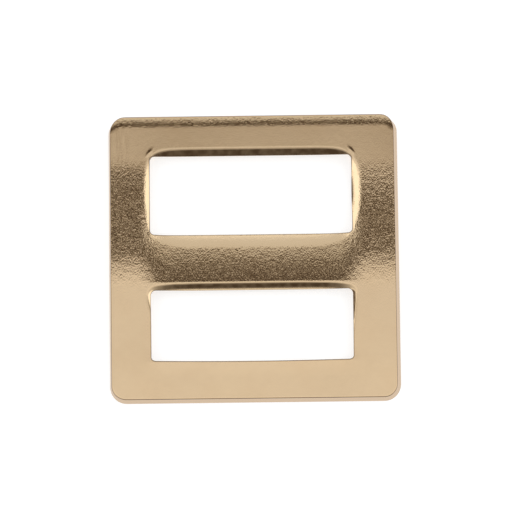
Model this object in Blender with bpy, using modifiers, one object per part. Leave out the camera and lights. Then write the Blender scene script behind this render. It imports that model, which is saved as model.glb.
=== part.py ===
"""Two-slot buckle slider for 30 mm webbing: one piece of pressed, plated steel sheet.

The sheet is modelled as the press tool leaves it. Its front skin is lofted outwards from each
slot, given its thickness with Solidify, and its cut edges are rounded with Bevel. The lower half
of the plate is flat. The rails then fall away gently towards the upper bar, the centre bar leans
back into the upper slot, and the slot edges that the webbing runs over are turned down.

Until the part is laid down at the end, +X runs along the bars, +Y points from the lower slot to
the upper one, and z = 0 is the front of the flat lower half.
"""

import math

import bmesh
import bpy
from mathutils import Matrix, Vector

MM = 0.001

# Plate
PLATE_WIDTH = 44.0 * MM
PLATE_HEIGHT = 44.0 * MM
SHEET = 1.0 * MM
CORNER_RADIUS = 2.6 * MM
EDGE_ROUND = 0.22 * MM

# Slots: they take 30 mm webbing, and sit a little left of the middle
WEBBING_WIDTH = 30.0 * MM
WEBBING_CLEARANCE = 0.5 * MM
SLOT_SHIFT = -0.4 * MM
UPPER_SLOT_CORNER = 0.55 * MM
LOWER_SLOT_CORNER = 0.75 * MM
UPPER_SLOT_HEIGHT = 11.92 * MM
LOWER_SLOT_HEIGHT = 10.84 * MM
BOTTOM_BOW = 0.17 * MM
UPPER_BAR = 6.25 * MM
LOWER_BAR = 6.22 * MM

# Camber: how the rails fall away from the flat lower half
RAIL_SLOPE = math.radians(5.0)
RAIL_BEND_LENGTH = 6.2 * MM
UPPER_BAR_SLOPE = math.radians(1.75)
UPPER_BEND_LEFT = 5.0 * MM
UPPER_BEND_RIGHT = 10.0 * MM

# Centre bar: it leans back towards the upper slot, and fades into the rails at its ends
BAR_LEAN = math.radians(5.5)
BAR_BLEND = 4.6 * MM

# Turned-down slot edges: radius on the inside of the bend, and the angle that the sheet turns
UPPER_BEND_INSIDE = 0.8 * MM
RIGHT_BEND_INSIDE = 1.0 * MM
LEFT_TURN = math.radians(48)
RIGHT_TURN = math.radians(72)
TOP_TURN = math.radians(50)
BAR_TOP_INSIDE = 3.5 * MM
BAR_TOP_TURN = math.radians(32)
BAR_BOTTOM_INSIDE = 0.28 * MM
BAR_BOTTOM_TURN = math.radians(75)
CORNER_PINCH = 0.88

# The lip along the bar's bottom edge: how it thins out, and how far it runs down the slot's sides
LIP_PINCH = 0.45
LIP_LEFT_RUN = 0.75 * MM
LIP_LEFT_REACH = 4.0 * MM
LIP_RIGHT_RUN = 0.85 * MM
LIP_RIGHT_REACH = 10.0 * MM

# Soft roll of the front skin along the outline
ROLL_RADIUS = 8.0 * MM
TOP_ROLL_RUN = 1.6 * MM
SIDE_ROLL_RUN = 0.7 * MM

# Loft density, and how wide a strip along each edge its closest rings take
CORNER_STEPS = 4
SIDE_STEPS = 10
SLOT_RINGS = 7
FACE_RINGS = 3
ROLL_RINGS = 3
SLOT_COLLAR = 1.9 * MM
RIGHT_COLLAR = 2.3 * MM
BAR_COLLAR = 3.0 * MM
OUTLINE_COLLAR = 2.0 * MM
BAR_END = 2.4 * MM

# Worked out from the sizes above
SLOT_WIDTH = WEBBING_WIDTH + WEBBING_CLEARANCE
UPPER_SLOT_TOP = PLATE_HEIGHT / 2 - UPPER_BAR
BAR_TOP = UPPER_SLOT_TOP - UPPER_SLOT_HEIGHT
LOWER_SLOT_BOTTOM = -PLATE_HEIGHT / 2 + LOWER_BAR
BAR_BOTTOM = LOWER_SLOT_BOTTOM + LOWER_SLOT_HEIGHT
BAR_SEAM = (BAR_TOP - BAR_COLLAR + BAR_BOTTOM + SLOT_COLLAR) / 2
BAR_RIDGE = BAR_BOTTOM + (BAR_BOTTOM_INSIDE + SHEET) * math.sin(BAR_BOTTOM_TURN)


def turned(inside, turn, collar):
    """(radius of the front skin, how far back from the edge the bend starts, collar) of a bend."""
    radius = inside + SHEET
    return radius, radius * math.sin(turn), collar


UPPER_SLOT = {
    "bottom": BAR_TOP,
    "top": UPPER_SLOT_TOP,
    "corner": UPPER_SLOT_CORNER,
    "bends": {
        "left": turned(UPPER_BEND_INSIDE, LEFT_TURN, SLOT_COLLAR),
        "right": turned(RIGHT_BEND_INSIDE, RIGHT_TURN, RIGHT_COLLAR),
        "top": turned(UPPER_BEND_INSIDE, TOP_TURN, SLOT_COLLAR),
        "bottom": turned(BAR_TOP_INSIDE, BAR_TOP_TURN, BAR_COLLAR),
    },
}
LOWER_SLOT = {
    "bottom": LOWER_SLOT_BOTTOM,
    "top": BAR_BOTTOM,
    "corner": LOWER_SLOT_CORNER,
    "bends": {
        "left": turned(BAR_BOTTOM_INSIDE, 0.0, SLOT_COLLAR),
        "right": turned(BAR_BOTTOM_INSIDE, 0.0, SLOT_COLLAR),
        "top": turned(BAR_BOTTOM_INSIDE, BAR_BOTTOM_TURN, SLOT_COLLAR),
        "bottom": turned(BAR_BOTTOM_INSIDE, 0.0, SLOT_COLLAR),
    },
}


def ease(t):
    """A smooth step from 0 to 1."""
    t = min(max(t, 0.0), 1.0)
    return t * t * (3 - 2 * t)


def bend_drop(y, start, length, slope):
    """How far a bend about X that starts at start has lowered the sheet at y."""
    t = min(max((y - start) / length, 0.0), 1.0)
    beyond = max(y - start - length, 0.0)
    return math.tan(slope) * (length * (t**3 - t**4 / 2) + beyond)


def face_height(x, y):
    """Height of the pressed face, before the slot edges and the outline are turned down."""
    rails = bend_drop(y, BAR_RIDGE, RAIL_BEND_LENGTH, RAIL_SLOPE)
    bend = UPPER_BEND_LEFT + (UPPER_BEND_RIGHT - UPPER_BEND_LEFT) * ease(x / PLATE_WIDTH + 0.5)
    upper = bend_drop(y, UPPER_SLOT_TOP - bend, bend, RAIL_SLOPE - UPPER_BAR_SLOPE)
    into_rail = abs(x - SLOT_SHIFT) - SLOT_WIDTH / 2
    along_bar = 1 - ease(into_rail / BAR_BLEND + 0.5)
    above_bar = 1 - ease((y - BAR_TOP) / BAR_BLEND)
    lean = math.tan(BAR_LEAN) * max(min(y, BAR_TOP) - BAR_RIDGE, 0.0)
    return upper - rails - lean * along_bar * above_bar


def spread(count):
    """Count + 1 shares from 0 to 1, closer together at both ends."""
    return [(1 - math.cos(math.pi * k / count)) / 2 for k in range(count + 1)]


def rounded_box(left, right, bottom, top, radius):
    """Points round a box with round corners, as (place, outward direction).

    They start halfway round the lower right corner and run up the right side.
    """
    corners = (
        (right - radius, top - radius, 0.0),
        (left + radius, top - radius, math.pi / 2),
        (left + radius, bottom + radius, math.pi),
        (right - radius, bottom + radius, 1.5 * math.pi),
    )
    arcs = []
    for centre_x, centre_y, first in corners:
        arc = []
        for step in range(CORNER_STEPS + 1):
            angle = first + math.pi / 2 * step / CORNER_STEPS
            outward = Vector((math.cos(angle), math.sin(angle)))
            arc.append((Vector((centre_x, centre_y)) + radius * outward, outward))
        arcs.append(arc)
    points = []
    half = CORNER_STEPS // 2
    for before, after in zip(arcs[-1:] + arcs[:-1], arcs):
        points += before[half:]
        start, outward = before[-1]
        end = after[0][0]
        points += [(start.lerp(end, share), outward) for share in spread(SIDE_STEPS)[1:-1]]
        points += after[:half]
    return points


def along_bar(step):
    """Share of the way along the bar's seam for a spoke: closer together at the ends."""
    half, side = CORNER_STEPS // 2, SIDE_STEPS + CORNER_STEPS
    end = BAR_END / PLATE_WIDTH
    if step <= half:
        return end * step / half
    if step >= side - half:
        return 1 - end * (side - step) / half
    return end + (1 - 2 * end) * spread(SIDE_STEPS)[step - half]


def outer_points(slot):
    """Where each spoke of a slot ends: just inside the plate's outline, or on the bar's seam.

    Each entry is (place, outward direction), and the direction is None on the bar.
    """
    upper = slot is UPPER_SLOT
    half_width = PLATE_WIDTH / 2 - OUTLINE_COLLAR
    half_height = PLATE_HEIGHT / 2 - OUTLINE_COLLAR
    bottom, top = (BAR_SEAM, half_height) if upper else (-half_height, BAR_SEAM)
    radius = CORNER_RADIUS - OUTLINE_COLLAR
    box = rounded_box(-half_width, half_width, bottom, top, radius)
    half, side = CORNER_STEPS // 2, SIDE_STEPS + CORNER_STEPS
    bar_side = 3 if upper else 1
    points = []
    for index, (place, outward) in enumerate(box):
        number, step = divmod(index, side)
        from_bar = step if (number == 0) == upper else side - step
        if number == bar_side and step > 0:
            share = 2 * along_bar(step) - 1
            points.append((Vector((half_width * (share if upper else -share), BAR_SEAM)), None))
        elif number == bar_side or (number in (0, 2) and from_bar < half):
            # The square end of the cell, where the rail passes the bar
            reach = 0.0 if number == bar_side else radius * from_bar / half
            across = Vector((math.copysign(1.0, place.x), 0.0))
            place = Vector((across.x * half_width, BAR_SEAM + (reach if upper else -reach)))
            points.append((place, across))
        else:
            points.append((place, outward))
    return points


def edge_bend(slot, place, outward):
    """(bend radius, run, collar) of a slot's turned-down edge at a point of its outline."""
    weights = {
        "left": max(-outward.x, 0.0) ** 2,
        "right": max(outward.x, 0.0) ** 2,
        "top": max(outward.y, 0.0) ** 2,
        "bottom": max(-outward.y, 0.0) ** 2,
    }
    radius, run, collar = (
        sum(weight * slot["bends"][side][k] for side, weight in weights.items()) for k in range(3)
    )
    along_bars = abs(2 * (place.x - SLOT_SHIFT) / SLOT_WIDTH)
    if slot is UPPER_SLOT:
        along_side = 2 * (place.y - BAR_TOP) / UPPER_SLOT_HEIGHT - 1
        power = 3 if along_side > 0 else 2
        pinch = (weights["left"] + weights["right"]) * abs(along_side) ** power
        pinch += weights["top"] * along_bars**12 + weights["bottom"] * along_bars**8
        run *= 1 - CORNER_PINCH * pinch
    else:
        down_side = BAR_BOTTOM - LOWER_SLOT_CORNER - place.y
        run *= 1 - LIP_PINCH * along_bars**8
        run += LIP_LEFT_RUN * (1 - ease(down_side / LIP_LEFT_REACH)) * weights["left"]
        run += LIP_RIGHT_RUN * (1 - ease(down_side / LIP_RIGHT_REACH)) * weights["right"]
    return radius, run, collar


def bowed(place, outward):
    """A point of the lower slot's outline, raised towards the ends of its bottom edge."""
    along_bars = 2 * (place.x - SLOT_SHIFT) / SLOT_WIDTH
    raised = BOTTOM_BOW * along_bars**2 * max(-outward.y, 0.0) ** 2
    return place + Vector((0.0, raised))


def outline_roll(outward):
    """Run of the soft roll along the plate's outline: widest along the top, none at the bottom."""
    return TOP_ROLL_RUN * max(outward.y, 0.0) ** 2 + SIDE_ROLL_RUN * outward.x**2


def walk(radius, run, width, share):
    """(distance from the edge, drop) at a share of the way along a turned-down edge of that width."""
    bend = math.asin(run / radius)
    travelled = share * (radius * bend + width - run)
    if travelled >= radius * bend:
        return run + travelled - radius * bend, 0.0
    angle = bend - travelled / radius
    return run - radius * math.sin(angle), radius * (1 - math.cos(angle))


def spoke(slot, inner, outer):
    """Points of the front skin from a slot's edge out to the outline or the seam of the bar."""
    (edge, away), (end, outward) = inner, outer
    radius, run, collar = edge_bend(slot, edge, away)
    plan = []
    for ring in range(SLOT_RINGS + 1):
        distance, drop = walk(radius, run, collar, ring / SLOT_RINGS)
        plan.append((edge + distance * away, drop))
    last = plan[-1][0]
    plan += [(last.lerp(end, k / FACE_RINGS), 0.0) for k in range(1, FACE_RINGS + 1)]
    if outward is not None:
        for ring in range(ROLL_RINGS - 1, -1, -1):
            run = outline_roll(outward)
            distance, drop = walk(ROLL_RADIUS, run, OUTLINE_COLLAR, ring / ROLL_RINGS)
            plan.append((end + (OUTLINE_COLLAR - distance) * outward, drop))
    return [Vector((p.x, p.y, face_height(p.x, p.y) - drop)) for p, drop in plan]


def front_skin():
    """The front of the sheet as an open mesh with the two slots in it."""
    form = bmesh.new()
    half_slot = SLOT_WIDTH / 2
    for slot in (UPPER_SLOT, LOWER_SLOT):
        left, right = SLOT_SHIFT - half_slot, SLOT_SHIFT + half_slot
        edge = rounded_box(left, right, slot["bottom"], slot["top"], slot["corner"])
        if slot is LOWER_SLOT:
            edge = [(bowed(*point), point[1]) for point in edge]
        spokes = [
            [form.verts.new(point) for point in spoke(slot, inner, outer)]
            for inner, outer in zip(edge, outer_points(slot))
        ]
        for here, following in zip(spokes, spokes[1:] + spokes[:1]):
            for ring in range(min(len(here), len(following)) - 1):
                form.faces.new((here[ring], here[ring + 1], following[ring + 1], following[ring]))
    bmesh.ops.remove_doubles(form, verts=form.verts, dist=0.01 * MM)
    mesh = bpy.data.meshes.new("slider_plate")
    form.to_mesh(mesh)
    form.free()
    return mesh


def plated_steel():
    """Polished pale gold plating."""
    material = bpy.data.materials.new("pale_gold_plating")
    material.use_nodes = True
    shader = material.node_tree.nodes["Principled BSDF"]
    shader.inputs["Base Color"].default_value = (0.86, 0.67, 0.42, 1.0)
    shader.inputs["Metallic"].default_value = 1.0
    shader.inputs["Roughness"].default_value = 0.18
    return material


def lower_hull(points):
    """The underside of a set of (y, z) points, from the lowest y to the highest."""
    hull = []
    for point in sorted(points):
        while len(hull) > 1:
            (y0, z0), (y1, z1) = hull[-2], hull[-1]
            if (y1 - y0) * (point[1] - z0) - (z1 - z0) * (point[0] - y0) > 0:
                break
            hull.pop()
        hull.append(point)
    return hull


def balance_point():
    """How far up the plate its centre of mass is."""
    slots = (
        (UPPER_SLOT_HEIGHT * SLOT_WIDTH, (UPPER_SLOT_TOP + BAR_TOP) / 2),
        (LOWER_SLOT_HEIGHT * SLOT_WIDTH, (BAR_BOTTOM + LOWER_SLOT_BOTTOM) / 2),
    )
    missing = sum(area * middle for area, middle in slots)
    return -missing / (PLATE_WIDTH * PLATE_HEIGHT - sum(area for area, _ in slots))


def lay_down(plate):
    """Turns the part about X until it rests on z = 0 by its own weight, centred on the origin."""
    shaped = plate.evaluated_get(bpy.context.evaluated_depsgraph_get())
    corners = [vertex.co.copy() for vertex in shaped.data.vertices]
    balance = balance_point()
    hull = lower_hull([(corner.y, corner.z) for corner in corners])
    for (y0, z0), (y1, z1) in zip(hull, hull[1:]):
        if y0 <= balance <= y1:
            turn = Matrix.Rotation(-math.atan2(z1 - z0, y1 - y0), 4, "X")
    turned = [turn @ corner for corner in corners]
    middle = [(min(p[k] for p in turned) + max(p[k] for p in turned)) / 2 for k in range(2)]
    floor = min(p.z for p in turned)
    plate.matrix_world = Matrix.Translation((-middle[0], -middle[1], -floor)) @ turn


def main():
    for old in list(bpy.data.objects):
        bpy.data.objects.remove(old)
    collection = bpy.data.collections.new("buckle_slider")
    bpy.context.scene.collection.children.link(collection)

    plate = bpy.data.objects.new("slider_plate", front_skin())
    collection.objects.link(plate)
    plate.data.materials.append(plated_steel())

    thickness = plate.modifiers.new("thickness", "SOLIDIFY")
    thickness.thickness = SHEET
    thickness.offset = -1
    thickness.use_even_offset = False
    thickness.use_quality_normals = True

    rounding = plate.modifiers.new("rounded_edges", "BEVEL")
    rounding.width = EDGE_ROUND
    rounding.segments = 2
    rounding.limit_method = "ANGLE"
    rounding.angle_limit = math.radians(50)

    plate.data.shade_smooth()
    lay_down(plate)


main()
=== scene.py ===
"""Pressed two-slot slider for 30 mm webbing, in pale gold plating, laid on a white studio floor."""

import math

import bmesh
import bpy
from bpy.props import FloatProperty, FloatVectorProperty, PointerProperty
from bpy.types import Operator, Panel, PropertyGroup
from mathutils import Matrix, Vector, noise


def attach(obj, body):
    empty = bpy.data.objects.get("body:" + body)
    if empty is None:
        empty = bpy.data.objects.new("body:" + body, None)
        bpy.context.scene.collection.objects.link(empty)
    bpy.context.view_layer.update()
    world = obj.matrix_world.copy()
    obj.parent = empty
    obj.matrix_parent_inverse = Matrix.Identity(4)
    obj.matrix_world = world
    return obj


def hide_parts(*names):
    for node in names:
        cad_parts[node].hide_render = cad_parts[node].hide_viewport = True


bl_info = {
    "name": "Buckle Slider",
    "version": (1, 0, 0),
    "blender": (4, 5, 0),
    "location": "View3D > Sidebar > Slider",
    "description": "Builds a pressed, plated two-slot webbing slider and its studio",
    "category": "Object",
}

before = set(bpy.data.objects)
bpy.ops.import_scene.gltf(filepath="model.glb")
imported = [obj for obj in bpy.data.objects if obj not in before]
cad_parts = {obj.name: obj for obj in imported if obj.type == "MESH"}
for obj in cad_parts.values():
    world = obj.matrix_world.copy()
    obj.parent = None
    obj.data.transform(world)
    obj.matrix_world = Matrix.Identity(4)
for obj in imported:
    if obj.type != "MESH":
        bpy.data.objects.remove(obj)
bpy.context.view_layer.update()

MM = 0.001

# Loft density
CORNER_STEPS = 12
SIDE_STEPS = 40
SLOT_RINGS = 16
FACE_RINGS = 12
ROLL_RINGS = 8
ROUND_STEPS = 6
WALL_SHARES = (0.05, 0.35, 0.65, 0.95, 1.0)
WELD = 0.002 * MM

# How wide a strip along each edge its closest rings take
SLOT_COLLAR = 1.9 * MM
RIGHT_COLLAR = 2.3 * MM
BAR_COLLAR = 3.0 * MM
OUTLINE_COLLAR = 2.0 * MM
BAR_END = 2.4 * MM

# Where the camber bends, and how the bar and its bends fade out at their ends
RAIL_BEND_LENGTH = 6.2 * MM
UPPER_BEND_LEFT = 5.0 * MM
UPPER_BEND_RIGHT = 10.0 * MM
BAR_BLEND = 4.6 * MM
CORNER_PINCH = 0.88

# How late each bend of the upper slot narrows towards the corners: a higher power is later
SIDE_FADE_ABOVE = 3
SIDE_FADE_BELOW = 2
TOP_FADE = 12
BAR_FADE = 8

# The lip along the bar's bottom edge: how it thins out, and how far it runs down the slot's sides
LIP_PINCH = 0.45
LIP_FADE = 8
LIP_LEFT_RUN = 0.75 * MM
LIP_LEFT_REACH = 4.0 * MM
LIP_RIGHT_RUN = 0.85 * MM
LIP_RIGHT_REACH = 10.0 * MM

# Slow waves of the pressed face: their length, and where in the noise they start
WAVE_LENGTH = 9.0 * MM
WAVE_START = Vector((3.1, 7.7, 0.4))

# Small creases outside the upper slot's top corners
CREASE_LENGTH = 0.6 * MM
CREASE_WIDTH = 0.18 * MM
CREASE_HEIGHT = 0.036 * MM
CREASE_OUT = 0.1 * MM
CREASE_UP = 0.65 * MM
CREASE_STEEPNESS = math.radians(54)

# Drag lines on the left rail: how many to a metre across and along the rail, and their depth
DRAG_ACROSS = 2500.0
DRAG_ALONG = 120.0
DRAG_DEPTH = 0.06 * MM

# Where the drag lines start and where they are full, on each side of their patch
DRAG_LIMITS = (
    ("X", -18.2 * MM, -19.0 * MM),
    ("X", -21.6 * MM, -21.1 * MM),
    ("Y", 5.0 * MM, 9.0 * MM),
)

# The lower bar's slight rise towards its slot
RISE_WIDTH = 2.6 * MM
RISE = 0.022 * MM

# How wide a strip the stretched part of the sheet takes to fade out
STRAIN_FADE = 1.8 * MM

# Painted shade on the walls that face left: where it starts and where it is full, in the upper slot
# and along the lip's end
SHADE_FACING_FROM = 0.74
SHADE_FACING_FULL = 0.84
LIP_SHADE_FACING_FROM = 0.27
LIP_SHADE_FACING_FULL = 0.36

# Painted shade on the turned-down edges, as (how far they face down the plate, share shaded)
ARCH_SHADE = ((0.0, 0.0), (0.08, 0.42), (0.13, 0.45), (0.22, 1.0))
ARCH_SHADE_FADE = 0.5 * MM
LIP_SHADE = ((0.14, 0.0), (0.24, 1.0), (0.62, 1.0), (0.82, 0.4))
LIP_DEPTH = 1.0 * MM
LIP_SHADE_FADE = 12

# Painted shade on the cut edges in the slots, and on the front edge of the outline
SLOT_EDGE_SHADE = 0.75
BREAK_SHADE = 0.8

# Plating: cells to a metre of its haze and of its thin patches
HAZE_SCALE = 900.0
PATCH_SCALE = 160.0

# Grain: how much of it a flat stretch shows, how many swells to a grain, and its squeeze along X
FLAT_GRAIN = 0.07
COARSE_GRAIN = 0.28
GRAIN_SQUEEZE = (1.8, 1.0, 1.0)

# Studio, in metres, but for the camera's sensor, which is in millimetres
KEY_PLACE = (0.1, 0.25, 0.9)
KEY_WIDTH = 0.9
FLOOR_RADIUS = 2.5
FLOOR_SIDES = 96
SENSOR_WIDTH = 36.0

# Bright panels of the tent, by how far left or right they lie
PANEL_FROM = 0.40
PANEL_FULL = 0.58
PANEL_COLOUR = (1.28, 1.28, 1.28)

# Colour of the tent by its angle from straight up, in degrees towards the upper bar
TENT_BANDS = (
    (-90, (0.60, 0.59, 0.58)),
    (-12, (0.62, 0.60, 0.58)),
    (-2, (0.84, 0.82, 0.81)),
    (2.6, (0.84, 0.82, 0.81)),
    (4.6, (0.70, 0.685, 0.695)),
    (6.3, (0.67, 0.655, 0.665)),
    (7.5, (0.65, 0.63, 0.62)),
    (9.8, (0.54, 0.51, 0.47)),
    (11.5, (0.25, 0.20, 0.15)),
    (12.7, (0.05, 0.03, 0.018)),
    (19.5, (0.03, 0.018, 0.010)),
    (22, (0.24, 0.20, 0.155)),
    (25, (0.48, 0.45, 0.41)),
    (27.5, (0.66, 0.65, 0.64)),
    (60, (0.70, 0.70, 0.71)),
    (78, (0.95, 0.95, 0.95)),
)


def length(name, description, default):
    """A size property. Its default is in millimetres."""
    return FloatProperty(
        name=name, description=description, default=default * MM, unit="LENGTH", precision=5
    )


def angle(name, description, default):
    """An angle property. Its default is in degrees."""
    return FloatProperty(
        name=name, description=description, default=math.radians(default), subtype="ANGLE"
    )


class SliderSizes(PropertyGroup):
    """Sizes of the pressed plate."""

    plate_width: length("Plate width", "Across the bars", 44.0)
    plate_height: length("Plate height", "Across both slots", 44.0)
    sheet: length("Sheet", "Thickness of the steel sheet", 1.0)
    corner_radius: length("Corner radius", "Outer corners of the plate", 2.6)
    webbing_width: length("Webbing width", "Webbing that the slots take", 30.0)
    webbing_clearance: length("Webbing clearance", "Room beside the webbing", 0.5)
    slot_shift: length("Slot shift", "How far the slots sit off the middle", -0.4)
    upper_slot_corner: length("Upper slot corner", "Corner radius of the upper slot", 0.55)
    lower_slot_corner: length("Lower slot corner", "Corner radius of the lower slot", 0.75)
    upper_slot_height: length("Upper slot", "Height of the upper slot", 11.92)
    lower_slot_height: length("Lower slot", "Height of the lower slot", 10.84)
    bottom_bow: length("Bottom bow", "Bow of the lower slot's bottom edge", 0.17)
    upper_bar: length("Upper bar", "Width of the upper bar", 6.25)
    lower_bar: length("Lower bar", "Width of the lower bar", 6.22)
    side_break: length("Side break", "Rounding where the face meets the side edges", 0.11)
    end_break: length("End break", "Rounding where the face meets the top and bottom edges", 0.14)
    flare_left: length("Left flare", "How far the cut edge flares out on the left", 0.38)
    flare_right: length("Right flare", "How far the cut edge flares out on the right", 0.66)
    flare_top: length("Top flare", "How far the cut edge flares out at the top", 0.12)
    flare_bottom: length("Bottom flare", "How far the cut edge flares out at the bottom", 0.60)
    slot_round: length("Slot round", "Rounding of the turned-down slot edges", 0.2)
    lower_slot_round: length("Lower slot round", "Rounding of the flat slot edges", 0.08)
    back_round: length("Back round", "Rounding of the edges on the back", 0.12)
    waviness: length("Waviness", "Depth of the pressed face's slow waves", 0.022)


class SliderBends(PropertyGroup):
    """Angles and radii that the press tool gives the plate."""

    rail_slope: angle("Rail slope", "How steeply the rails fall away", 5.0)
    upper_bar_slope: angle("Upper bar slope", "How steeply the upper bar falls away", 1.75)
    bar_lean: angle("Bar lean", "How far the centre bar leans back", 5.5)
    left_turn: angle("Left turn", "Turn of the upper slot's left edge", 48)
    right_turn: angle("Right turn", "Turn of the upper slot's right edge", 72)
    top_turn: angle("Top turn", "Turn of the upper slot's top edge", 50)
    bar_top_turn: angle("Bar top turn", "Turn of the centre bar's top edge", 32)
    bar_bottom_turn: angle("Bar bottom turn", "Turn of the centre bar's bottom edge", 75)
    slot_inside: length("Slot bend", "Inside radius of the upper slot's bends", 0.8)
    right_inside: length("Right bend", "Inside radius of the upper slot's right bend", 1.0)
    bar_top_inside: length("Bar top bend", "Inside radius of the bar's top bend", 3.5)
    bar_bottom_inside: length("Bar bottom bend", "Inside radius of the bar's bottom bend", 0.28)
    roll_radius: length("Outline roll", "Radius of the soft roll along the outline", 8.0)
    top_roll_run: length("Top roll", "Width of the soft roll along the top", 1.6)
    side_roll_run: length("Side roll", "Width of the soft roll along the sides", 0.7)


class SliderFinish(PropertyGroup):
    """Look of the plating."""

    plating: FloatVectorProperty(
        name="Plating", description="Colour of the plating", size=3, subtype="COLOR",
        default=(0.90, 0.69, 0.44), min=0.0, max=1.0,
    )
    tarnish: FloatVectorProperty(
        name="Thin plating", description="Colour where the plating is thinner", size=3,
        subtype="COLOR", default=(0.84, 0.62, 0.38), min=0.0, max=1.0,
    )
    cut_edge: FloatVectorProperty(
        name="Cut edge", description="Colour of the plating on the cut edges", size=3,
        subtype="COLOR", default=(0.61, 0.47, 0.34), min=0.0, max=1.0,
    )
    # Painted shade: the dark brown laid on steep walls and edges in place of the dark reflections they
    # would show
    painted_shade: FloatVectorProperty(
        name="Painted shade", description="Colour of the shade painted on steep walls and edges", size=3,
        subtype="COLOR", default=(0.10, 0.06, 0.03), min=0.0, max=1.0,
    )
    roughness: FloatProperty(
        name="Roughness", description="Roughness of the polished plating", default=0.13,
        min=0.0, max=1.0, subtype="FACTOR",
    )
    grain: length("Grain", "Size of the orange-peel grain", 0.27)
    grain_depth: length("Grain depth", "Depth of the orange-peel grain", 0.03)


class SliderStudio(PropertyGroup):
    """Floor, light and camera."""

    floor: FloatVectorProperty(
        name="Floor", description="Colour of the floor", size=3, subtype="COLOR",
        default=(0.45, 0.45, 0.45), min=0.0, max=1.0,
    )
    glow: FloatProperty(name="Glow", description="Light from under the floor", default=0.66)
    key_power: FloatProperty(
        name="Key light", description="Power of the top light", default=1.6, unit="POWER"
    )
    tent: FloatProperty(name="Tent", description="Brightness of the light tent", default=1.0)
    distance: length("Distance", "From the camera to the slider", 750)
    elevation: angle("Elevation", "Height of the camera above the floor", 78.3)
    roll: angle("Roll", "Turn of the camera about its view", -0.69)
    view_height: length("View height", "Height of the view at the slider", 77.65)
    aim_x: length("Aim across", "Where the camera looks, along the bars", -0.16)
    aim_y: length("Aim along", "Where the camera looks, across the slots", 0.59)


def ease(t):
    """A smooth step from 0 to 1."""
    t = min(max(t, 0.0), 1.0)
    return t * t * (3 - 2 * t)


def bend_drop(y, start, length_, slope):
    """How far a bend about X that starts at start has lowered the sheet at y."""
    t = min(max((y - start) / length_, 0.0), 1.0)
    beyond = max(y - start - length_, 0.0)
    return math.tan(slope) * (length_ * (t**3 - t**4 / 2) + beyond)


def spread(count):
    """Count + 1 shares from 0 to 1, closer together at both ends."""
    return [(1 - math.cos(math.pi * k / count)) / 2 for k in range(count + 1)]


def rounded_box(left, right, bottom, top, radius):
    """Points round a box with round corners, as (place, outward direction).

    They start halfway round the lower right corner and run up the right side.
    """
    corners = (
        (right - radius, top - radius, 0.0),
        (left + radius, top - radius, math.pi / 2),
        (left + radius, bottom + radius, math.pi),
        (right - radius, bottom + radius, 1.5 * math.pi),
    )
    arcs = []
    for centre_x, centre_y, first in corners:
        arc = []
        for step in range(CORNER_STEPS + 1):
            turn = first + math.pi / 2 * step / CORNER_STEPS
            outward = Vector((math.cos(turn), math.sin(turn)))
            arc.append((Vector((centre_x, centre_y)) + radius * outward, outward))
        arcs.append(arc)
    points = []
    half = CORNER_STEPS // 2
    for before, after in zip(arcs[-1:] + arcs[:-1], arcs):
        points += before[half:]
        start, outward = before[-1]
        end = after[0][0]
        points += [(start.lerp(end, share), outward) for share in spread(SIDE_STEPS)[1:-1]]
        points += after[:half]
    return points


def along_profile(radius, run, travelled):
    """(distance from the edge, drop) at a length travelled from a turned-down edge."""
    bend = math.asin(run / radius)
    if travelled >= radius * bend:
        return run + travelled - radius * bend, 0.0
    left = bend - travelled / radius
    return run - radius * math.sin(left), radius * (1 - math.cos(left))


def profile_length(radius, run, collar):
    """Length of the profile from a turned-down edge to the end of its collar."""
    return radius * math.asin(run / radius) + collar - run


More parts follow.
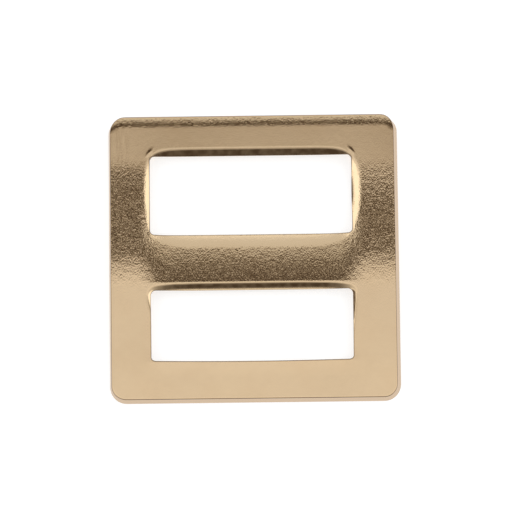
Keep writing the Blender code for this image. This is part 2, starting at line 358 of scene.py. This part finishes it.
class PressedForm:
    """The shape that the press tool gives the front of the sheet."""

    def __init__(self, sizes, bends):
        self.sizes = sizes
        self.bends = bends
        self.slot_width = sizes.webbing_width + sizes.webbing_clearance
        self.slot_top = sizes.plate_height / 2 - sizes.upper_bar
        self.bar_top = self.slot_top - sizes.upper_slot_height
        self.slot_bottom = -sizes.plate_height / 2 + sizes.lower_bar
        self.bar_bottom = self.slot_bottom + sizes.lower_slot_height
        self.seam = (self.bar_top - BAR_COLLAR + self.bar_bottom + SLOT_COLLAR) / 2
        self.bar_run = (bends.bar_bottom_inside + sizes.sheet) * math.sin(bends.bar_bottom_turn)
        self.ridge = self.bar_bottom + self.bar_run

    def turned(self, inside, turn, collar, edge_round):
        """(front radius, width of the bend, collar, edge rounding) of a slot edge."""
        radius = inside + self.sizes.sheet
        return radius, radius * math.sin(turn), collar, edge_round

    def slots(self):
        """(bottom, top, bends of the four sides) of the upper and the lower slot."""
        sizes, bends = self.sizes, self.bends
        side, bar, tight = bends.slot_inside, bends.bar_top_inside, bends.bar_bottom_inside
        soft, crisp = sizes.slot_round, sizes.lower_slot_round
        upper = {
            "left": self.turned(side, bends.left_turn, SLOT_COLLAR, soft),
            "right": self.turned(bends.right_inside, bends.right_turn, RIGHT_COLLAR, soft),
            "top": self.turned(side, bends.top_turn, SLOT_COLLAR, soft),
            "bottom": self.turned(bar, bends.bar_top_turn, BAR_COLLAR, soft),
        }
        lower = {
            "left": self.turned(tight, 0.0, SLOT_COLLAR, crisp),
            "right": self.turned(tight, 0.0, SLOT_COLLAR, crisp),
            "top": self.turned(tight, bends.bar_bottom_turn, SLOT_COLLAR, soft),
            "bottom": self.turned(tight, 0.0, SLOT_COLLAR, crisp),
        }
        return (self.bar_top, self.slot_top, upper), (self.slot_bottom, self.bar_bottom, lower)

    def waves(self, x, y):
        """Slow unevenness of the pressed face."""
        place = Vector((x, y, 0.0)) / WAVE_LENGTH
        return self.sizes.waviness * noise.noise(place + WAVE_START)

    def face_height(self, x, y):
        """Height of the pressed face, before its edges are turned down."""
        bends = self.bends
        rails = bend_drop(y, self.ridge, RAIL_BEND_LENGTH, bends.rail_slope)
        eased = bends.rail_slope - bends.upper_bar_slope
        share = ease(x / self.sizes.plate_width + 0.5)
        bend = UPPER_BEND_LEFT + (UPPER_BEND_RIGHT - UPPER_BEND_LEFT) * share
        upper = bend_drop(y, self.slot_top - bend, bend, eased)
        into_rail = abs(x - self.sizes.slot_shift) - self.slot_width / 2
        along_bar = 1 - ease(into_rail / BAR_BLEND + 0.5)
        above_bar = 1 - ease((y - self.bar_top) / BAR_BLEND)
        lean = math.tan(bends.bar_lean) * max(min(y, self.bar_top) - self.ridge, 0.0)
        level = upper - rails - lean * along_bar * above_bar + self.waves(x, y)
        return level + self.creases(x, y) + self.rise(y) * along_bar

    def creases(self, x, y):
        """Height of the small creases that run out from the upper slot's top corners."""
        height = 0.0
        for side in (-1, 1):
            across = self.sizes.slot_shift + side * (self.slot_width / 2 + CREASE_OUT)
            away = Vector((side * math.cos(CREASE_STEEPNESS), -math.sin(CREASE_STEEPNESS)))
            offset = Vector((x - across, y - self.slot_top - CREASE_UP))
            lengthwise, sideways = offset.dot(away) / CREASE_LENGTH, away.cross(offset) / CREASE_WIDTH
            height += CREASE_HEIGHT * math.exp(-(lengthwise**2) - sideways**2)
        return height

    def rise(self, y):
        """Height that the lower bar gains towards its slot."""
        return RISE * max(1 - abs(self.slot_bottom - y) / RISE_WIDTH, 0.0) ** 2

    def edge_bend(self, slot, is_upper, place, outward):
        """(radius, run, collar, rounding) of a slot's edge at a point of its outline."""
        weights = {
            "left": max(-outward.x, 0.0) ** 2,
            "right": max(outward.x, 0.0) ** 2,
            "top": max(outward.y, 0.0) ** 2,
            "bottom": max(-outward.y, 0.0) ** 2,
        }
        bends = slot[2]
        radius, run, collar, rounding = (
            sum(weight * bends[side][k] for side, weight in weights.items()) for k in range(4)
        )
        along_bars = abs(2 * (place.x - self.sizes.slot_shift) / self.slot_width)
        if is_upper:
            along_side = 2 * (place.y - self.bar_top) / self.sizes.upper_slot_height - 1
            fade = SIDE_FADE_ABOVE if along_side > 0 else SIDE_FADE_BELOW
            pinch = (weights["left"] + weights["right"]) * abs(along_side) ** fade
            pinch += weights["top"] * along_bars**TOP_FADE + weights["bottom"] * along_bars**BAR_FADE
            run *= 1 - CORNER_PINCH * pinch
        else:
            down_side = self.bar_bottom - self.sizes.lower_slot_corner - place.y
            run = self.bar_run * (1 - LIP_PINCH * along_bars**LIP_FADE) * weights["top"]
            run += LIP_LEFT_RUN * (1 - ease(down_side / LIP_LEFT_REACH)) * weights["left"]
            run += LIP_RIGHT_RUN * (1 - ease(down_side / LIP_RIGHT_REACH)) * weights["right"]
        return radius, run, collar, rounding

    def bowed(self, place, outward):
        """A point of the lower slot's outline, raised towards the ends of its bottom edge."""
        along_bars = 2 * (place.x - self.sizes.slot_shift) / self.slot_width
        raised = self.sizes.bottom_bow * along_bars**2 * max(-outward.y, 0.0) ** 2
        return place + Vector((0.0, raised))

    def outline_roll(self, outward):
        """Width of the soft roll along the outline: widest along the top, none at the bottom."""
        top = self.bends.top_roll_run * max(outward.y, 0.0) ** 2
        return top + self.bends.side_roll_run * outward.x**2

    def flare(self, outward):
        """How far the cut edge flares out beyond the face."""
        sizes = self.sizes
        across = sizes.flare_right if outward.x > 0 else sizes.flare_left
        along = sizes.flare_top if outward.y > 0 else sizes.flare_bottom
        return across * outward.x**2 + along * outward.y**2

    def outer_points(self, is_upper):
        """Where each spoke of a slot ends: just inside the plate's outline, or on the bar's seam.

        Each entry is (place, outward direction), and the direction is None on the bar.
        """
        sizes = self.sizes
        half_width = sizes.plate_width / 2 - OUTLINE_COLLAR
        half_height = sizes.plate_height / 2 - OUTLINE_COLLAR
        bottom, top = (self.seam, half_height) if is_upper else (-half_height, self.seam)
        radius = sizes.corner_radius - OUTLINE_COLLAR
        box = rounded_box(-half_width, half_width, bottom, top, radius)
        half, side = CORNER_STEPS // 2, SIDE_STEPS + CORNER_STEPS
        bar_side = 3 if is_upper else 1
        points = []
        for index, (place, outward) in enumerate(box):
            number, step = divmod(index, side)
            from_bar = step if (number == 0) == is_upper else side - step
            if number == bar_side and step > 0:
                share = 2 * self.along_bar(step) - 1
                across = half_width * (share if is_upper else -share)
                points.append((Vector((across, self.seam)), None))
            elif number == bar_side or (number in (0, 2) and from_bar < half):
                # The square end of the cell, where the rail passes the bar
                reach = 0.0 if number == bar_side else radius * from_bar / half
                across = Vector((math.copysign(1.0, place.x), 0.0))
                level = self.seam + (reach if is_upper else -reach)
                points.append((Vector((across.x * half_width, level)), across))
            else:
                points.append((place, outward))
        return points

    def along_bar(self, step):
        """Share of the way along the bar's seam for a spoke: closer together at the ends."""
        half, side = CORNER_STEPS // 2, SIDE_STEPS + CORNER_STEPS
        end = BAR_END / self.sizes.plate_width
        if step <= half:
            return end * step / half
        if step >= side - half:
            return 1 - end * (side - step) / half
        return end + (1 - 2 * end) * spread(SIDE_STEPS)[step - half]

    def spoke(self, bend, inner, outer):
        """Points of the front from a slot's edge out to the outline or the seam of the bar."""
        (edge, away), (end, outward) = inner, outer
        radius, run, collar, rounding = bend
        whole = profile_length(radius, run, collar)
        plan = []
        for ring in range(SLOT_RINGS + 1):
            travelled = rounding + (whole - rounding) * ring / SLOT_RINGS
            distance, drop = along_profile(radius, run, travelled)
            plan.append((edge + distance * away, drop))
        last = plan[-1][0]
        plan += [(last.lerp(end, k / FACE_RINGS), 0.0) for k in range(1, FACE_RINGS + 1)]
        if outward is not None:
            radius, run = self.bends.roll_radius, self.outline_roll(outward)
            flare = self.flare(outward)
            whole = profile_length(radius, run, OUTLINE_COLLAR - flare)
            for ring in range(ROLL_RINGS - 1, -1, -1):
                distance, drop = along_profile(radius, run, whole * ring / ROLL_RINGS)
                plan.append((end + (OUTLINE_COLLAR - flare - distance) * outward, drop))
        return [Vector((p.x, p.y, self.face_height(p.x, p.y) - drop)) for p, drop in plan]


def front_skin(form):
    """The front of the sheet as an open bmesh.

    Its layers hold the rounding of each point on a slot's edge, and the flare of each on the outline.
    """
    skin = bmesh.new()
    rounding_layer = skin.verts.layers.float.new("round")
    flare_layer = skin.verts.layers.float.new("flare")
    sizes = form.sizes
    left = sizes.slot_shift - form.slot_width / 2
    right = sizes.slot_shift + form.slot_width / 2
    for is_upper, slot in zip((True, False), form.slots()):
        corner = sizes.upper_slot_corner if is_upper else sizes.lower_slot_corner
        edge = rounded_box(left, right, slot[0], slot[1], corner)
        if not is_upper:
            edge = [(form.bowed(*point), point[1]) for point in edge]
        spokes = []
        for inner, outer in zip(edge, form.outer_points(is_upper)):
            bend = form.edge_bend(slot, is_upper, *inner)
            verts = [skin.verts.new(point) for point in form.spoke(bend, inner, outer)]
            verts[0][rounding_layer] = bend[3]
            if outer[1] is not None:
                verts[-1][flare_layer] = form.flare(outer[1])
            spokes.append(verts)
        for here, following in zip(spokes, spokes[1:] + spokes[:1]):
            for ring in range(min(len(here), len(following)) - 1):
                skin.faces.new((here[ring], here[ring + 1], following[ring + 1], following[ring]))
    bmesh.ops.remove_doubles(skin, verts=skin.verts, dist=WELD)
    skin.normal_update()
    return skin


def rim_profile(front_round, back_round, sheet):
    """(outward, down) steps from the front of the sheet round its cut edge to the back."""
    quarter = [math.pi / 2 * k / ROUND_STEPS for k in range(ROUND_STEPS + 1)]
    front = [(front_round * math.sin(a), front_round * (1 - math.cos(a))) for a in quarter[1:]]
    inset = front_round - back_round
    back = [
        (inset + back_round * math.cos(a), sheet - back_round + back_round * math.sin(a))
        for a in quarter
    ]
    return front + back


def flared_profile(edge_break, flare, back_round, sheet):
    """(outward, down) steps round a cut edge that flares out towards the back."""
    slope = math.atan2(sheet - back_round - edge_break, flare)
    arc = [slope * k / ROUND_STEPS for k in range(1, ROUND_STEPS + 1)]
    front = [(edge_break * math.sin(a), edge_break * (1 - math.cos(a))) for a in arc]
    start, end = Vector(front[-1]), Vector((flare, sheet - back_round))
    wall = [tuple(start.lerp(end, share)) for share in WALL_SHARES]
    quarter = [math.pi / 2 * k / ROUND_STEPS for k in range(1, ROUND_STEPS + 1)]
    back = [
        (flare - back_round * (1 - math.cos(a)), sheet - back_round + back_round * math.sin(a))
        for a in quarter
    ]
    return front + wall + back


def mark_strain(form, skin):
    """Fills the strain layer: 1 where the press has stretched the sheet, 0 where it stays flat."""
    strain = skin.verts.layers.float.new("strain")
    for vert in skin.verts:
        above_ridge = ease((vert.co.y - form.ridge + STRAIN_FADE) / (2 * STRAIN_FADE))
        below_top = 1 - ease((vert.co.y - form.slot_top + 2 * STRAIN_FADE) / (2 * STRAIN_FADE))
        on_roll = ease(2 * (vert.co.y - form.sizes.plate_height / 2 + OUTLINE_COLLAR) / OUTLINE_COLLAR)
        vert[strain] = max(above_ridge * below_top, on_roll)


def share_along(steps, value):
    """The share at a value, read off a list of (value, share) steps with smooth runs between."""
    share = steps[0][1]
    for (start, before), (end, after) in zip(steps, steps[1:]):
        if value > start:
            share = before + (after - before) * ease((value - start) / (end - start))
    return share


def mark_painted_shade(form, skin):
    """Fills the layer of painted shade: 1 on the steep and the turned-down walls, which are painted
    dark as shade.
    """
    painted_shade = skin.verts.layers.float.new("painted_shade")
    for vert in skin.verts:
        across = abs(vert.co.x - form.sizes.slot_shift)
        if across >= form.slot_width / 2 + SLOT_COLLAR:
            continue
        lower = vert.co.y < form.bar_bottom
        start, full = (LIP_SHADE_FACING_FROM, LIP_SHADE_FACING_FULL) if lower else (SHADE_FACING_FROM, SHADE_FACING_FULL)
        facing = ease((-vert.normal.x - start) / (full - start))
        shaded = 0.0
        if abs(vert.co.y - form.slot_top) < SLOT_COLLAR:
            above_slot = ease((vert.co.y - form.slot_top) / ARCH_SHADE_FADE + 1)
            shaded = share_along(ARCH_SHADE, -vert.normal.y) * above_slot
        elif form.bar_bottom - LIP_DEPTH < vert.co.y < form.ridge:
            along_bar = min(2 * across / form.slot_width, 1.0)
            shaded = share_along(LIP_SHADE, -vert.normal.y) * (1 - along_bar**LIP_SHADE_FADE)
        vert[painted_shade] = max(facing, shaded)


def border(skin):
    """The edges of the front's border as (start, end), in the direction of the faces beside them."""
    loops = [edge.link_loops[0] for edge in skin.edges if edge.is_boundary]
    return [(loop.vert, loop.link_loop_next.vert) for loop in loops]


def rim_points(sizes, vert, rounding, flare):
    """Points round the cut edge, from a point on the front's border to the back of the sheet."""
    inside = next(edge.other_vert(vert) for edge in vert.link_edges if not edge.is_boundary)
    outward = vert.co - inside.co
    outward -= outward.dot(vert.normal) * vert.normal
    outward.normalize()
    if flare > 0:
        edge_break = outward.x**2 * sizes.side_break + outward.y**2 * sizes.end_break
        steps = flared_profile(edge_break, flare, sizes.back_round, sizes.sheet)
    else:
        steps = rim_profile(rounding, min(sizes.back_round, rounding), sizes.sheet)
    return [vert.co + across * outward - down * vert.normal for across, down in steps]


def add_rim(skin, vert, points):
    """The new points of the cut edge beside one point of the border, marked as cut and given painted
    shade.
    """
    layers = skin.verts.layers.float
    cut_layer, painted_shade_layer = layers["cut"], layers["painted_shade"]
    on_outline = vert[layers["flare"]] > 0
    rim = [skin.verts.new(point) for point in points]
    for place, new in enumerate(rim):
        new[cut_layer] = 1.0
        on_break = place < ROUND_STEPS - 1
        # Painted shade on the outline's front break and on the slot's cut edges, with half of it on
        # the slot's edge point
        new[painted_shade_layer] = (BREAK_SHADE if on_break else 0.0) if on_outline else SLOT_EDGE_SHADE
    if not on_outline:
        vert[painted_shade_layer] = max(vert[painted_shade_layer], SLOT_EDGE_SHADE / 2)
    return rim


def closed_body(form):
    """The whole sheet: its front, its rounded cut edges and its back, as one closed mesh."""
    sizes = form.sizes
    skin = front_skin(form)
    mark_strain(form, skin)
    mark_painted_shade(form, skin)
    skin.verts.layers.float.new("cut")
    layers = skin.verts.layers.float
    rounding, flare = layers["round"], layers["flare"]
    fronts = list(skin.verts)
    faces = [list(face.verts) for face in skin.faces]
    edges = border(skin)
    plans = [(vert, rim_points(sizes, vert, vert[rounding], vert[flare])) for vert, _ in edges]
    backs = {vert: skin.verts.new(vert.co - sizes.sheet * vert.normal) for vert in fronts}
    rims = {vert: [vert] + add_rim(skin, vert, points) + [backs[vert]] for vert, points in plans}
    for verts in faces:
        skin.faces.new([backs[vert] for vert in reversed(verts)])
    for start, end in edges:
        for k in range(len(rims[start]) - 1):
            skin.faces.new((rims[end][k], rims[start][k], rims[start][k + 1], rims[end][k + 1]))
    bmesh.ops.recalc_face_normals(skin, faces=skin.faces)
    mesh = bpy.data.meshes.new("pressed_plate")
    skin.to_mesh(mesh)
    skin.free()
    mesh.shade_smooth()
    return mesh


def lower_hull(points):
    """The underside of a set of (y, z) points, from the lowest y to the highest."""
    hull = []
    for point in sorted(points):
        while len(hull) > 1:
            (y0, z0), (y1, z1) = hull[-2], hull[-1]
            if (y1 - y0) * (point[1] - z0) - (z1 - z0) * (point[0] - y0) > 0:
                break
            hull.pop()
        hull.append(point)
    return hull


def laid_down(mesh, balance):
    """The turn and move that rest the mesh on the floor, centred. Its weight acts at y = balance."""
    corners = [vertex.co.copy() for vertex in mesh.vertices]
    hull = lower_hull([(corner.y, corner.z) for corner in corners])
    for (y0, z0), (y1, z1) in zip(hull, hull[1:]):
        if y0 <= balance <= y1:
            turn = Matrix.Rotation(-math.atan2(z1 - z0, y1 - y0), 4, "X")
    turned = [turn @ corner for corner in corners]
    middle = [(min(p[k] for p in turned) + max(p[k] for p in turned)) / 2 for k in range(2)]
    floor = min(p.z for p in turned)
    return Matrix.Translation((-middle[0], -middle[1], -floor)) @ turn


class Nodes:
    """Short calls for adding and joining the nodes of one tree."""

    def __init__(self, tree):
        self.tree = tree

    def add(self, kind, **values):
        """A new node. A value named after a socket goes to the socket, any other to the node."""
        node = self.tree.nodes.new(kind)
        for key, value in values.items():
            label = key.replace("_", " ")
            if label in node.inputs:
                node.inputs[label].default_value = value
            else:
                setattr(node, key, value)
        return node

    def join(self, source, output, target, target_input):
        """Links an output of one node to an input of another."""
        self.tree.links.new(source.outputs[output], target.inputs[target_input])

    def product(self, first, first_output, second, second_output):
        """A node that multiplies two outputs."""
        product = self.add("ShaderNodeMath", operation="MULTIPLY")
        self.join(first, first_output, product, 0)
        self.join(second, second_output, product, 1)
        return product

    def blend(self, share, output, colour):
        """A node that turns its input A into a colour, by the share on an output."""
        blend = self.add("ShaderNodeMix", data_type="RGBA")
        blend.inputs["B"].default_value = (*colour, 1.0)
        self.join(share, output, blend, "Factor")
        return blend


def plating_colour(nodes, place, haze, finish):
    """The node of the plating's colour: thin patches, cut edges, and painted shade on steep walls and
    edges.
    """
    patches = nodes.add("ShaderNodeTexNoise", Scale=PATCH_SCALE, Detail=3.0, Roughness=0.55)
    nodes.join(place, "Object", patches, "Vector")
    fade = nodes.add("ShaderNodeMapRange", From_Min=0.45, From_Max=0.85, To_Max=0.5)
    nodes.join(patches, "Fac", fade, "Value")
    tint = nodes.blend(fade, "Result", finish.tarnish)
    tint.inputs["A"].default_value = (*finish.plating, 1.0)

    cut = nodes.add("ShaderNodeAttribute", attribute_name="cut")
    edges = nodes.blend(cut, "Fac", finish.cut_edge)
    nodes.join(tint, "Result", edges, "A")

    # Painted shade: a dark colour laid over the marked walls and edges, a little patchy
    painted_shade = nodes.add("ShaderNodeAttribute", attribute_name="painted_shade")
    uneven = nodes.add("ShaderNodeMapRange", From_Min=0.35, From_Max=0.6, To_Min=0.9)
    nodes.join(haze, "Fac", uneven, "Value")
    patchy = nodes.product(painted_shade, "Fac", uneven, "Result")
    shaded = nodes.blend(patchy, "Value", finish.painted_shade)
    nodes.join(edges, "Result", shaded, "A")
    return shaded


def orange_peel(nodes, place, finish):
    """A bump node with fine grain over coarse swells, both strongest where the sheet is stretched."""
    squeeze = nodes.add("ShaderNodeMapping", Scale=GRAIN_SQUEEZE)
    nodes.join(place, "Object", squeeze, "Vector")
    fine = nodes.add("ShaderNodeTexNoise", Scale=1.0 / finish.grain, Detail=1.0, Roughness=0.5)
    nodes.join(squeeze, "Vector", fine, "Vector")
    coarse = nodes.add("ShaderNodeTexNoise", Scale=COARSE_GRAIN / finish.grain, Detail=1.0)
    nodes.join(squeeze, "Vector", coarse, "Vector")
    strain = nodes.add("ShaderNodeAttribute", attribute_name="strain")
    depth = nodes.add("ShaderNodeMapRange", To_Min=FLAT_GRAIN, To_Max=1.0)
    nodes.join(strain, "Fac", depth, "Value")
    peel = nodes.add("ShaderNodeBump", Distance=finish.grain_depth)
    nodes.join(fine, "Fac", peel, "Height")
    nodes.join(depth, "Result", peel, "Strength")
    swell = nodes.add("ShaderNodeBump", Distance=finish.grain_depth)
    nodes.join(coarse, "Fac", swell, "Height")
    nodes.join(depth, "Result", swell, "Strength")
    nodes.join(peel, "Normal", swell, "Normal")
    return swell


def pale_gold_plating(finish):
    """Polished pale gold plating over pressed steel: orange peel, thin patches, faint drag lines."""
    material = bpy.data.materials.new("pale_gold_plating")
    material.use_nodes = True
    tree = material.node_tree
    tree.nodes.clear()
    nodes = Nodes(tree)
    output = nodes.add("ShaderNodeOutputMaterial")
    shader = nodes.add("ShaderNodeBsdfPrincipled", Metallic=1.0)
    nodes.join(shader, "BSDF", output, "Surface")
    place = nodes.add("ShaderNodeTexCoord")
    haze = nodes.add("ShaderNodeTexNoise", Scale=HAZE_SCALE, Detail=4.0)
    nodes.join(place, "Object", haze, "Vector")
    nodes.join(plating_colour(nodes, place, haze, finish), "Result", shader, "Base Color")

    smooth, dull = finish.roughness * 0.75, finish.roughness * 1.35
    rough = nodes.add("ShaderNodeMapRange", To_Min=smooth, To_Max=dull)
    nodes.join(haze, "Fac", rough, "Value")
    nodes.join(rough, "Result", shader, "Roughness")

    drag = drag_lines(nodes, place)
    nodes.join(orange_peel(nodes, place, finish), "Normal", drag, "Normal")
    nodes.join(drag, "Normal", shader, "Normal")
    return material


def drag_lines(nodes, place):
    """A bump node with faint lines along the left rail's upper end, where the press drags it."""
    stretch = nodes.add("ShaderNodeMapping", Scale=(DRAG_ACROSS, DRAG_ALONG, DRAG_ALONG))
    nodes.join(place, "Object", stretch, "Vector")
    lines = nodes.add("ShaderNodeTexNoise", Scale=1.0, Detail=2.0)
    nodes.join(stretch, "Vector", lines, "Vector")
    split = nodes.add("ShaderNodeSeparateXYZ")
    nodes.join(place, "Object", split, "Vector")
    strength = None
    for axis, none, full in DRAG_LIMITS:
        fade = nodes.add("ShaderNodeMapRange", From_Min=none, From_Max=full)
        nodes.join(split, axis, fade, "Value")
        strength = nodes.product(strength, 0, fade, 0) if strength else fade
    drag = nodes.add("ShaderNodeBump", Distance=DRAG_DEPTH)
    nodes.join(lines, 0, drag, "Height")
    nodes.join(strength, 0, drag, "Strength")
    return drag


class SLIDER_OT_plate(Operator):
    """Build the pressed and plated two-slot plate"""

    bl_idname = "slider.plate"
    bl_label = "Pressed Plate"

    def execute(self, context):
        scene = context.scene
        form = PressedForm(scene.slider_sizes, scene.slider_bends)
        mesh = closed_body(form)
        mesh.materials.append(pale_gold_plating(scene.slider_finish))
        plate = bpy.data.objects.new("pressed_plate", mesh)
        scene.collection.objects.link(plate)
        plate.matrix_world = laid_down(mesh, 0.0)
        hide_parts("slider_plate")
        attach(plate, "root")
        return {"FINISHED"}


def light_tent(world, strength):
    """A white tent: even light with a dark gap overhead, and brighter panels left and right."""
    world.use_nodes = True
    tree = world.node_tree
    tree.nodes.clear()
    nodes = Nodes(tree)
    output = nodes.add("ShaderNodeOutputWorld")
    background = nodes.add("ShaderNodeBackground", Strength=strength)
    nodes.join(background, "Background", output, "Surface")
    place = nodes.add("ShaderNodeTexCoord")
    split = nodes.add("ShaderNodeSeparateXYZ")
    nodes.join(place, "Generated", split, "Vector")

    lean = nodes.add("ShaderNodeMath", operation="ARCTAN2")
    nodes.join(split, "Y", lean, 0)
    nodes.join(split, "Z", lean, 1)
    share = nodes.add(
        "ShaderNodeMapRange", From_Min=math.radians(-90), From_Max=math.radians(90)
    )
    nodes.join(lean, "Value", share, "Value")
    gaps = nodes.add("ShaderNodeValToRGB")
    fill_ramp(gaps.color_ramp, TENT_BANDS)
    nodes.join(share, "Result", gaps, "Fac")

    side = nodes.add("ShaderNodeMath", operation="ABSOLUTE")
    nodes.join(split, "X", side, 0)
    panels = nodes.add(
        "ShaderNodeMapRange",
        From_Min=PANEL_FROM,
        From_Max=PANEL_FULL,
        interpolation_type="SMOOTHSTEP",
    )
    nodes.join(side, "Value", panels, "Value")
    mix = nodes.blend(panels, "Result", PANEL_COLOUR)
    nodes.join(gaps, "Color", mix, "A")
    nodes.join(mix, "Result", background, "Color")


def fill_ramp(ramp, bands):
    """Sets a colour ramp's stops from (degrees, colour) pairs."""
    ramp.interpolation = "LINEAR"
    stops = ramp.elements
    while len(stops) > 1:
        stops.remove(stops[-1])
    for number, (degrees, colour) in enumerate(bands):
        position = (degrees + 90) / 180
        stop = stops[0] if number == 0 else stops.new(position)
        stop.position = position
        stop.color = (*colour, 1.0)


def floor_material(colour, glow):
    """Matt white light table, with a little tooth. It glows, so shadows on it stay faint."""
    material = bpy.data.materials.new("light_table")
    material.use_nodes = True
    nodes = Nodes(material.node_tree)
    shader = material.node_tree.nodes["Principled BSDF"]
    shader.inputs["Base Color"].default_value = (*colour, 1.0)
    shader.inputs["Roughness"].default_value = 0.9
    shader.inputs["Specular IOR Level"].default_value = 0.1
    shader.inputs["Emission Color"].default_value = (1.0, 1.0, 1.0, 1.0)
    shader.inputs["Emission Strength"].default_value = glow
    tooth = nodes.add("ShaderNodeTexNoise", Scale=1500.0, Detail=3.0)
    bump = nodes.add("ShaderNodeBump", Strength=0.1, Distance=0.00001)
    nodes.join(tooth, "Fac", bump, "Height")
    nodes.join(bump, "Normal", shader, "Normal")
    return material


def area_light(name, place, target, width, power):
    """A square soft light at a place, turned to a target. Reflections don't show it."""
    lamp = bpy.data.lights.new(name, "AREA")
    lamp.size = width
    lamp.energy = power
    light = bpy.data.objects.new(name, lamp)
    light.location = place
    light.rotation_euler = (Vector(target) - Vector(place)).to_track_quat("-Z", "Y").to_euler()
    light.visible_glossy = False
    light.visible_camera = False
    bpy.context.scene.collection.objects.link(light)
    return light


def light_table(studio):
    """The round white floor that the slider lies on."""
    mesh = bpy.data.meshes.new("floor")
    disc = bmesh.new()
    bmesh.ops.create_circle(disc, cap_ends=True, segments=FLOOR_SIDES, radius=FLOOR_RADIUS)
    disc.to_mesh(mesh)
    disc.free()
    mesh.materials.append(floor_material(studio.floor, studio.glow))
    floor = bpy.data.objects.new("floor", mesh)
    bpy.context.scene.collection.objects.link(floor)
    return floor


def long_lens_camera(studio):
    """A camera far above the slider, leaning a little towards the lower bar."""
    lens = bpy.data.cameras.new("camera")
    lens.sensor_width = SENSOR_WIDTH
    lens.lens = lens.sensor_width * studio.distance / studio.view_height
    lens.clip_start = 0.01
    lens.clip_end = 10.0
    camera = bpy.data.objects.new("camera", lens)
    bpy.context.scene.collection.objects.link(camera)
    target = Vector((studio.aim_x, studio.aim_y, 0.0))
    back = Vector((0.0, -math.cos(studio.elevation), math.sin(studio.elevation)))
    look = (-back).to_track_quat("-Z", "Y").to_matrix().to_4x4()
    roll = Matrix.Rotation(studio.roll, 4, "Z")
    camera.matrix_world = Matrix.Translation(target + studio.distance * back) @ look @ roll
    return camera


class SLIDER_OT_stage(Operator):
    """Build the white floor, the light tent and the camera"""

    bl_idname = "slider.stage"
    bl_label = "Stage"

    def execute(self, context):
        scene = context.scene
        studio = scene.slider_studio
        floor = light_table(studio)
        scene.world = bpy.data.worlds.new("light_tent")
        light_tent(scene.world, studio.tent)
        area_light("key", KEY_PLACE, (0, 0, 0), KEY_WIDTH, studio.key_power)
        scene.camera = long_lens_camera(studio)
        scene.view_settings.view_transform = "Standard"
        return {"FINISHED"}


class SLIDER_PT_panel(Panel):
    """Sizes, bends and finish of the slider, with the buttons that build it"""

    bl_label = "Buckle Slider"
    bl_idname = "SLIDER_PT_panel"
    bl_space_type = "VIEW_3D"
    bl_region_type = "UI"
    bl_category = "Slider"

    def draw(self, context):
        scene = context.scene
        for group in (scene.slider_sizes, scene.slider_bends, scene.slider_finish):
            column = self.layout.column(align=True)
            for name in group.__annotations__:
                column.prop(group, name)
        self.layout.operator(SLIDER_OT_plate.bl_idname)
        column = self.layout.column(align=True)
        for name in scene.slider_studio.__annotations__:
            column.prop(scene.slider_studio, name)
        self.layout.operator(SLIDER_OT_stage.bl_idname)


CLASSES = (
    SliderSizes,
    SliderBends,
    SliderFinish,
    SliderStudio,
    SLIDER_OT_plate,
    SLIDER_OT_stage,
    SLIDER_PT_panel,
)


def register():
    """Registers the classes and hangs their settings on the scene."""
    for cls in CLASSES:
        bpy.utils.register_class(cls)
    bpy.types.Scene.slider_sizes = PointerProperty(type=SliderSizes)
    bpy.types.Scene.slider_bends = PointerProperty(type=SliderBends)
    bpy.types.Scene.slider_finish = PointerProperty(type=SliderFinish)
    bpy.types.Scene.slider_studio = PointerProperty(type=SliderStudio)


def unregister():
    """Takes away what register added."""
    del bpy.types.Scene.slider_studio
    del bpy.types.Scene.slider_finish
    del bpy.types.Scene.slider_bends
    del bpy.types.Scene.slider_sizes
    for cls in reversed(CLASSES):
        bpy.utils.unregister_class(cls)


def main():
    """Builds the slider and its stage."""
    register()
    bpy.ops.slider.plate()
    bpy.ops.slider.stage()


if __name__ == "__main__":
    main()
